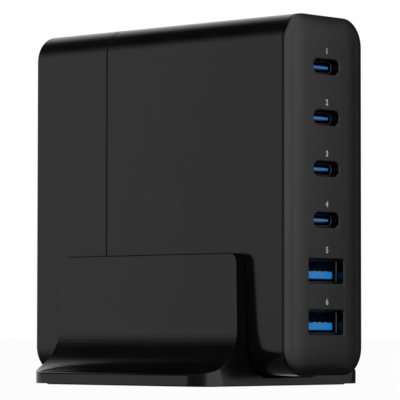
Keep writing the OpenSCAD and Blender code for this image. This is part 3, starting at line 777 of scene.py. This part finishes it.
def makeSmallSocket(index):
    size = smallSocket
    z, shellY = ports["heights"][index], ports["plateY"]
    boardY = shellY + size["long"]
    sheet, lip, turn = size["sheet"], size["lip"], size["lipTurn"]
    bm = bmesh.new()
    outline = [(sheet, boardY), (sheet, shellY + lip), (sheet - turn, shellY + turn),
               (lip, shellY), (turn, shellY + turn), (0, shellY + lip), (0, boardY)]
    rings = [stadiumRing(bm, size["wide"] - 2 * inset, size["high"] - 2 * inset, y, z)
             for inset, y in outline]
    bridgeRings(bm, rings, closed=True)
    addPiece(f"smallShell_{index + 1}", bm, "socket_metal", f"type_c_shell_{index + 1}")

    bm = bmesh.new()
    tip, root = shellY + size["tongueBack"], boardY - size["rootLong"]
    soft = size["tipSoft"]
    outline = [(soft * more, tip + soft * back) for more, back in size["tongueTip"]]
    rings = [addRing(bm, size["tongueWide"] - 2 * inset, size["tongueThick"] - 2 * inset,
                     max(size["leastRadius"], size["tongueRadius"] - inset), y, z,
                     size["steps"])
             for inset, y in outline + [(0, root)]]
    capRings(bm, rings)
    inner, soft = 2 * (sheet + size["seat"]), size["blockSoft"]
    wide, high = size["wide"] - inner, size["high"] - inner
    block = [stadiumRing(bm, wide - 2 * inset, high - 2 * inset, y, z)
             for inset, y in ((soft, root), (0, root + soft), (0, boardY))]
    capRings(bm, block)
    addPiece(f"smallTongue_{index + 1}", bm, "tongue_blue", f"type_c_tongue_{index + 1}")


def makeLargeSocket(index):
    size = largeSocket
    number = index - ports["smallCount"] + 1
    z, shellY = ports["heights"][index], ports["plateY"]
    boardY = shellY + size["long"]
    half, near = size["sheet"] / 2, size["near"]
    wide, high = size["wide"] - size["sheet"], size["high"] - size["sheet"]
    start = shellY + size["fingerFront"]
    stop = start + size["fingerLong"]
    halfFinger, slot = size["fingerWide"] / 2, size["slot"]
    bends = [start + size["fingerLong"] * k / size["fingerSteps"]
             for k in range(size["fingerSteps"] + 1)]
    levels = [(-size["flare"], shellY + half)]
    levels += [(-size["flare"] * share, shellY + back) for share, back in size["flareRings"]]
    levels += [(0, start - slot)] + [(0, y) for y in bends] + [(0, boardY - half)]
    bm = bmesh.new()
    rings = [addRing(bm, wide - 2 * inset, high - 2 * inset, size["radius"] - half, y, z,
                     size["steps"])
             for inset, y in levels]
    bridgeRings(bm, rings)
    for side in (-1, 1):
        for edge in (-halfFinger - slot, -halfFinger, halfFinger, halfFinger + slot):
            bmesh.ops.bisect_plane(bm, geom=bm.verts[:] + bm.edges[:] + bm.faces[:],
                                   dist=making["nearCut"],
                                   plane_co=(side * size["fingerX"] + edge, 0, 0),
                                   plane_no=(1, 0, 0))

    def fingerPart(at):
        across = abs(abs(at.x) - size["fingerX"])
        onWall = abs(abs(at.z - z) - high / 2) < near
        return across, onWall

    slots = []
    for side in bm.faces:
        at = side.calc_center_median()
        across, onWall = fingerPart(at)
        beside = halfFinger < across < halfFinger + slot
        ahead = start - slot < at.y < start and across < halfFinger + slot
        if onWall and ((beside and start - slot < at.y < stop) or ahead):
            slots.append(side)
    bmesh.ops.delete(bm, geom=slots, context="FACES")
    for vert in bm.verts:
        across, onWall = fingerPart(vert.co)
        if onWall and across < halfFinger + near / 2 and start - near / 2 < vert.co.y < stop:
            part = (stop - vert.co.y) / size["fingerLong"]
            bend = size["fingerBend"] * math.sin(min(1.0, part / size["fingerTip"]) * math.pi / 2)
            bend -= max(0.0, part - size["fingerTip"])
            vert.co.z -= math.copysign(bend, vert.co.z - z)
    bmesh.ops.recalc_face_normals(bm, faces=bm.faces)
    shell = addPiece(f"largeShell_{number}", bm, "socket_metal", f"type_a_shell_{number}")
    sheet = shell.modifiers.new("sheet", "SOLIDIFY")
    sheet.thickness = size["sheet"] * mm
    sheet.offset = 0
    shell.modifiers.move(1, 0)

    bm = bmesh.new()
    tip, root = shellY + size["tongueBack"], boardY - size["rootLong"]
    soft, low = size["tipSoft"], z - size["tongueDrop"]
    turns = [math.radians(angle) for angle in size["tipAngles"]]
    outline = [(soft * (1 - math.sin(a)), tip + soft * (1 - math.cos(a))) for a in turns]
    rings = [addRing(bm, size["tongueWide"] - 2 * inset, size["tongueThick"] - 2 * inset,
                     max(size["leastRadius"], size["tongueRadius"] - inset), y, low,
                     size["steps"])
             for inset, y in outline + [(0, root)]]
    capRings(bm, rings)
    inner, soft = 2 * (size["sheet"] + size["seat"]), size["blockSoft"]
    wide, high = size["wide"] - inner, size["high"] - inner
    block = [addRing(bm, wide - 2 * inset, high - 2 * inset, size["blockRadius"], y, z,
                     size["blockSteps"])
             for inset, y in ((soft, root), (0, root + soft), (0, boardY))]
    capRings(bm, block)
    addPiece(f"largeTongue_{number}", bm, "tongue_blue", f"type_a_tongue_{number}")


for index in range(len(ports["heights"])):
    if index < ports["smallCount"]:
        makeSmallSocket(index)
    else:
        makeLargeSocket(index)
print("sockets ready")


# Cradle and inlet keep the form of their solids, with their edges softened

softened = {
    "cradle": {"node": "stand", "slot": "cradle", "radius": 0.15, "angle": 28, "steps": 2,
               "flat": 0.5},
    "inletHousing": {"node": "inlet_housing", "slot": "inlet_black", "radius": 0.25, "angle": 50,
                     "steps": 3, "flat": 0.5},
}

wallTop = {
    "radius": 0.9,     # of the solid's outer edge
    "crisp": 0.25,     # of the piece's
    "lean": 2.0,
    "cornerRadius": 2.4,
    "endLean": 2.75,
    "level": 1e-3,     # how near the top a point counts as on it
    "near": 0.01,      # how near the rounded edge a point counts as on it
}


def crispWallTop(bm):
    radius, corner, level = wallTop["radius"], wallTop["cornerRadius"], wallTop["level"]
    top = max(vert.co.z for vert in bm.verts)
    low = min(vert.co.z for vert in bm.verts)
    long = max(vert.co.y for vert in bm.verts)
    midX = max(abs(vert.co.x) for vert in bm.verts if vert.co.z > top - level)
    midZ = top - radius
    lean, endLean = math.radians(wallTop["lean"]), math.radians(wallTop["endLean"])
    out = (1 - math.sin(lean)) / math.cos(lean)
    endZ = top - corner
    endY = long - (endZ - low) * math.tan(endLean) - corner / math.cos(endLean)
    change = radius - wallTop["crisp"]
    for vert in bm.verts:
        at = vert.co
        awayX, awayZ = abs(at.x) - midX, at.z - midZ
        offArc = abs(math.hypot(awayX, awayZ) - radius) > wallTop["near"]
        if awayX < -level or awayZ < 0 or offArc:
            continue
        at.x += math.copysign(change * (out - awayX / radius), at.x)
        at.z += change * (1 - awayZ / radius)
        if abs(at.y) > endY:
            reach = math.sqrt(max(0.0, corner ** 2 - (at.z - endZ) ** 2))
            at.y = math.copysign(endY + reach, at.y)


def makeSoftened(name, look):
    bm = bmesh.new()
    bm.from_mesh(frame["nodes"][look["node"]].data)
    bmesh.ops.scale(bm, vec=(1 / mm,) * 3, verts=bm.verts)
    bmesh.ops.remove_doubles(bm, verts=bm.verts, dist=making["mergeSolid"])
    bmesh.ops.dissolve_limit(bm, angle_limit=math.radians(look["flat"]), verts=bm.verts,
                             edges=bm.edges)
    if name == "cradle":
        crispWallTop(bm)
    piece = addPiece(name, bm, look["slot"], look["node"], flatAngle=look["angle"])
    ease = piece.modifiers.new("softEdges", "BEVEL")
    ease.width = look["radius"] * mm
    ease.segments = look["steps"]
    ease.limit_method = "ANGLE"
    ease.angle_limit = math.radians(look["angle"])
    piece.modifiers.move(1, 0)


for name, look in softened.items():
    makeSoftened(name, look)
print("cradle and inlet ready")
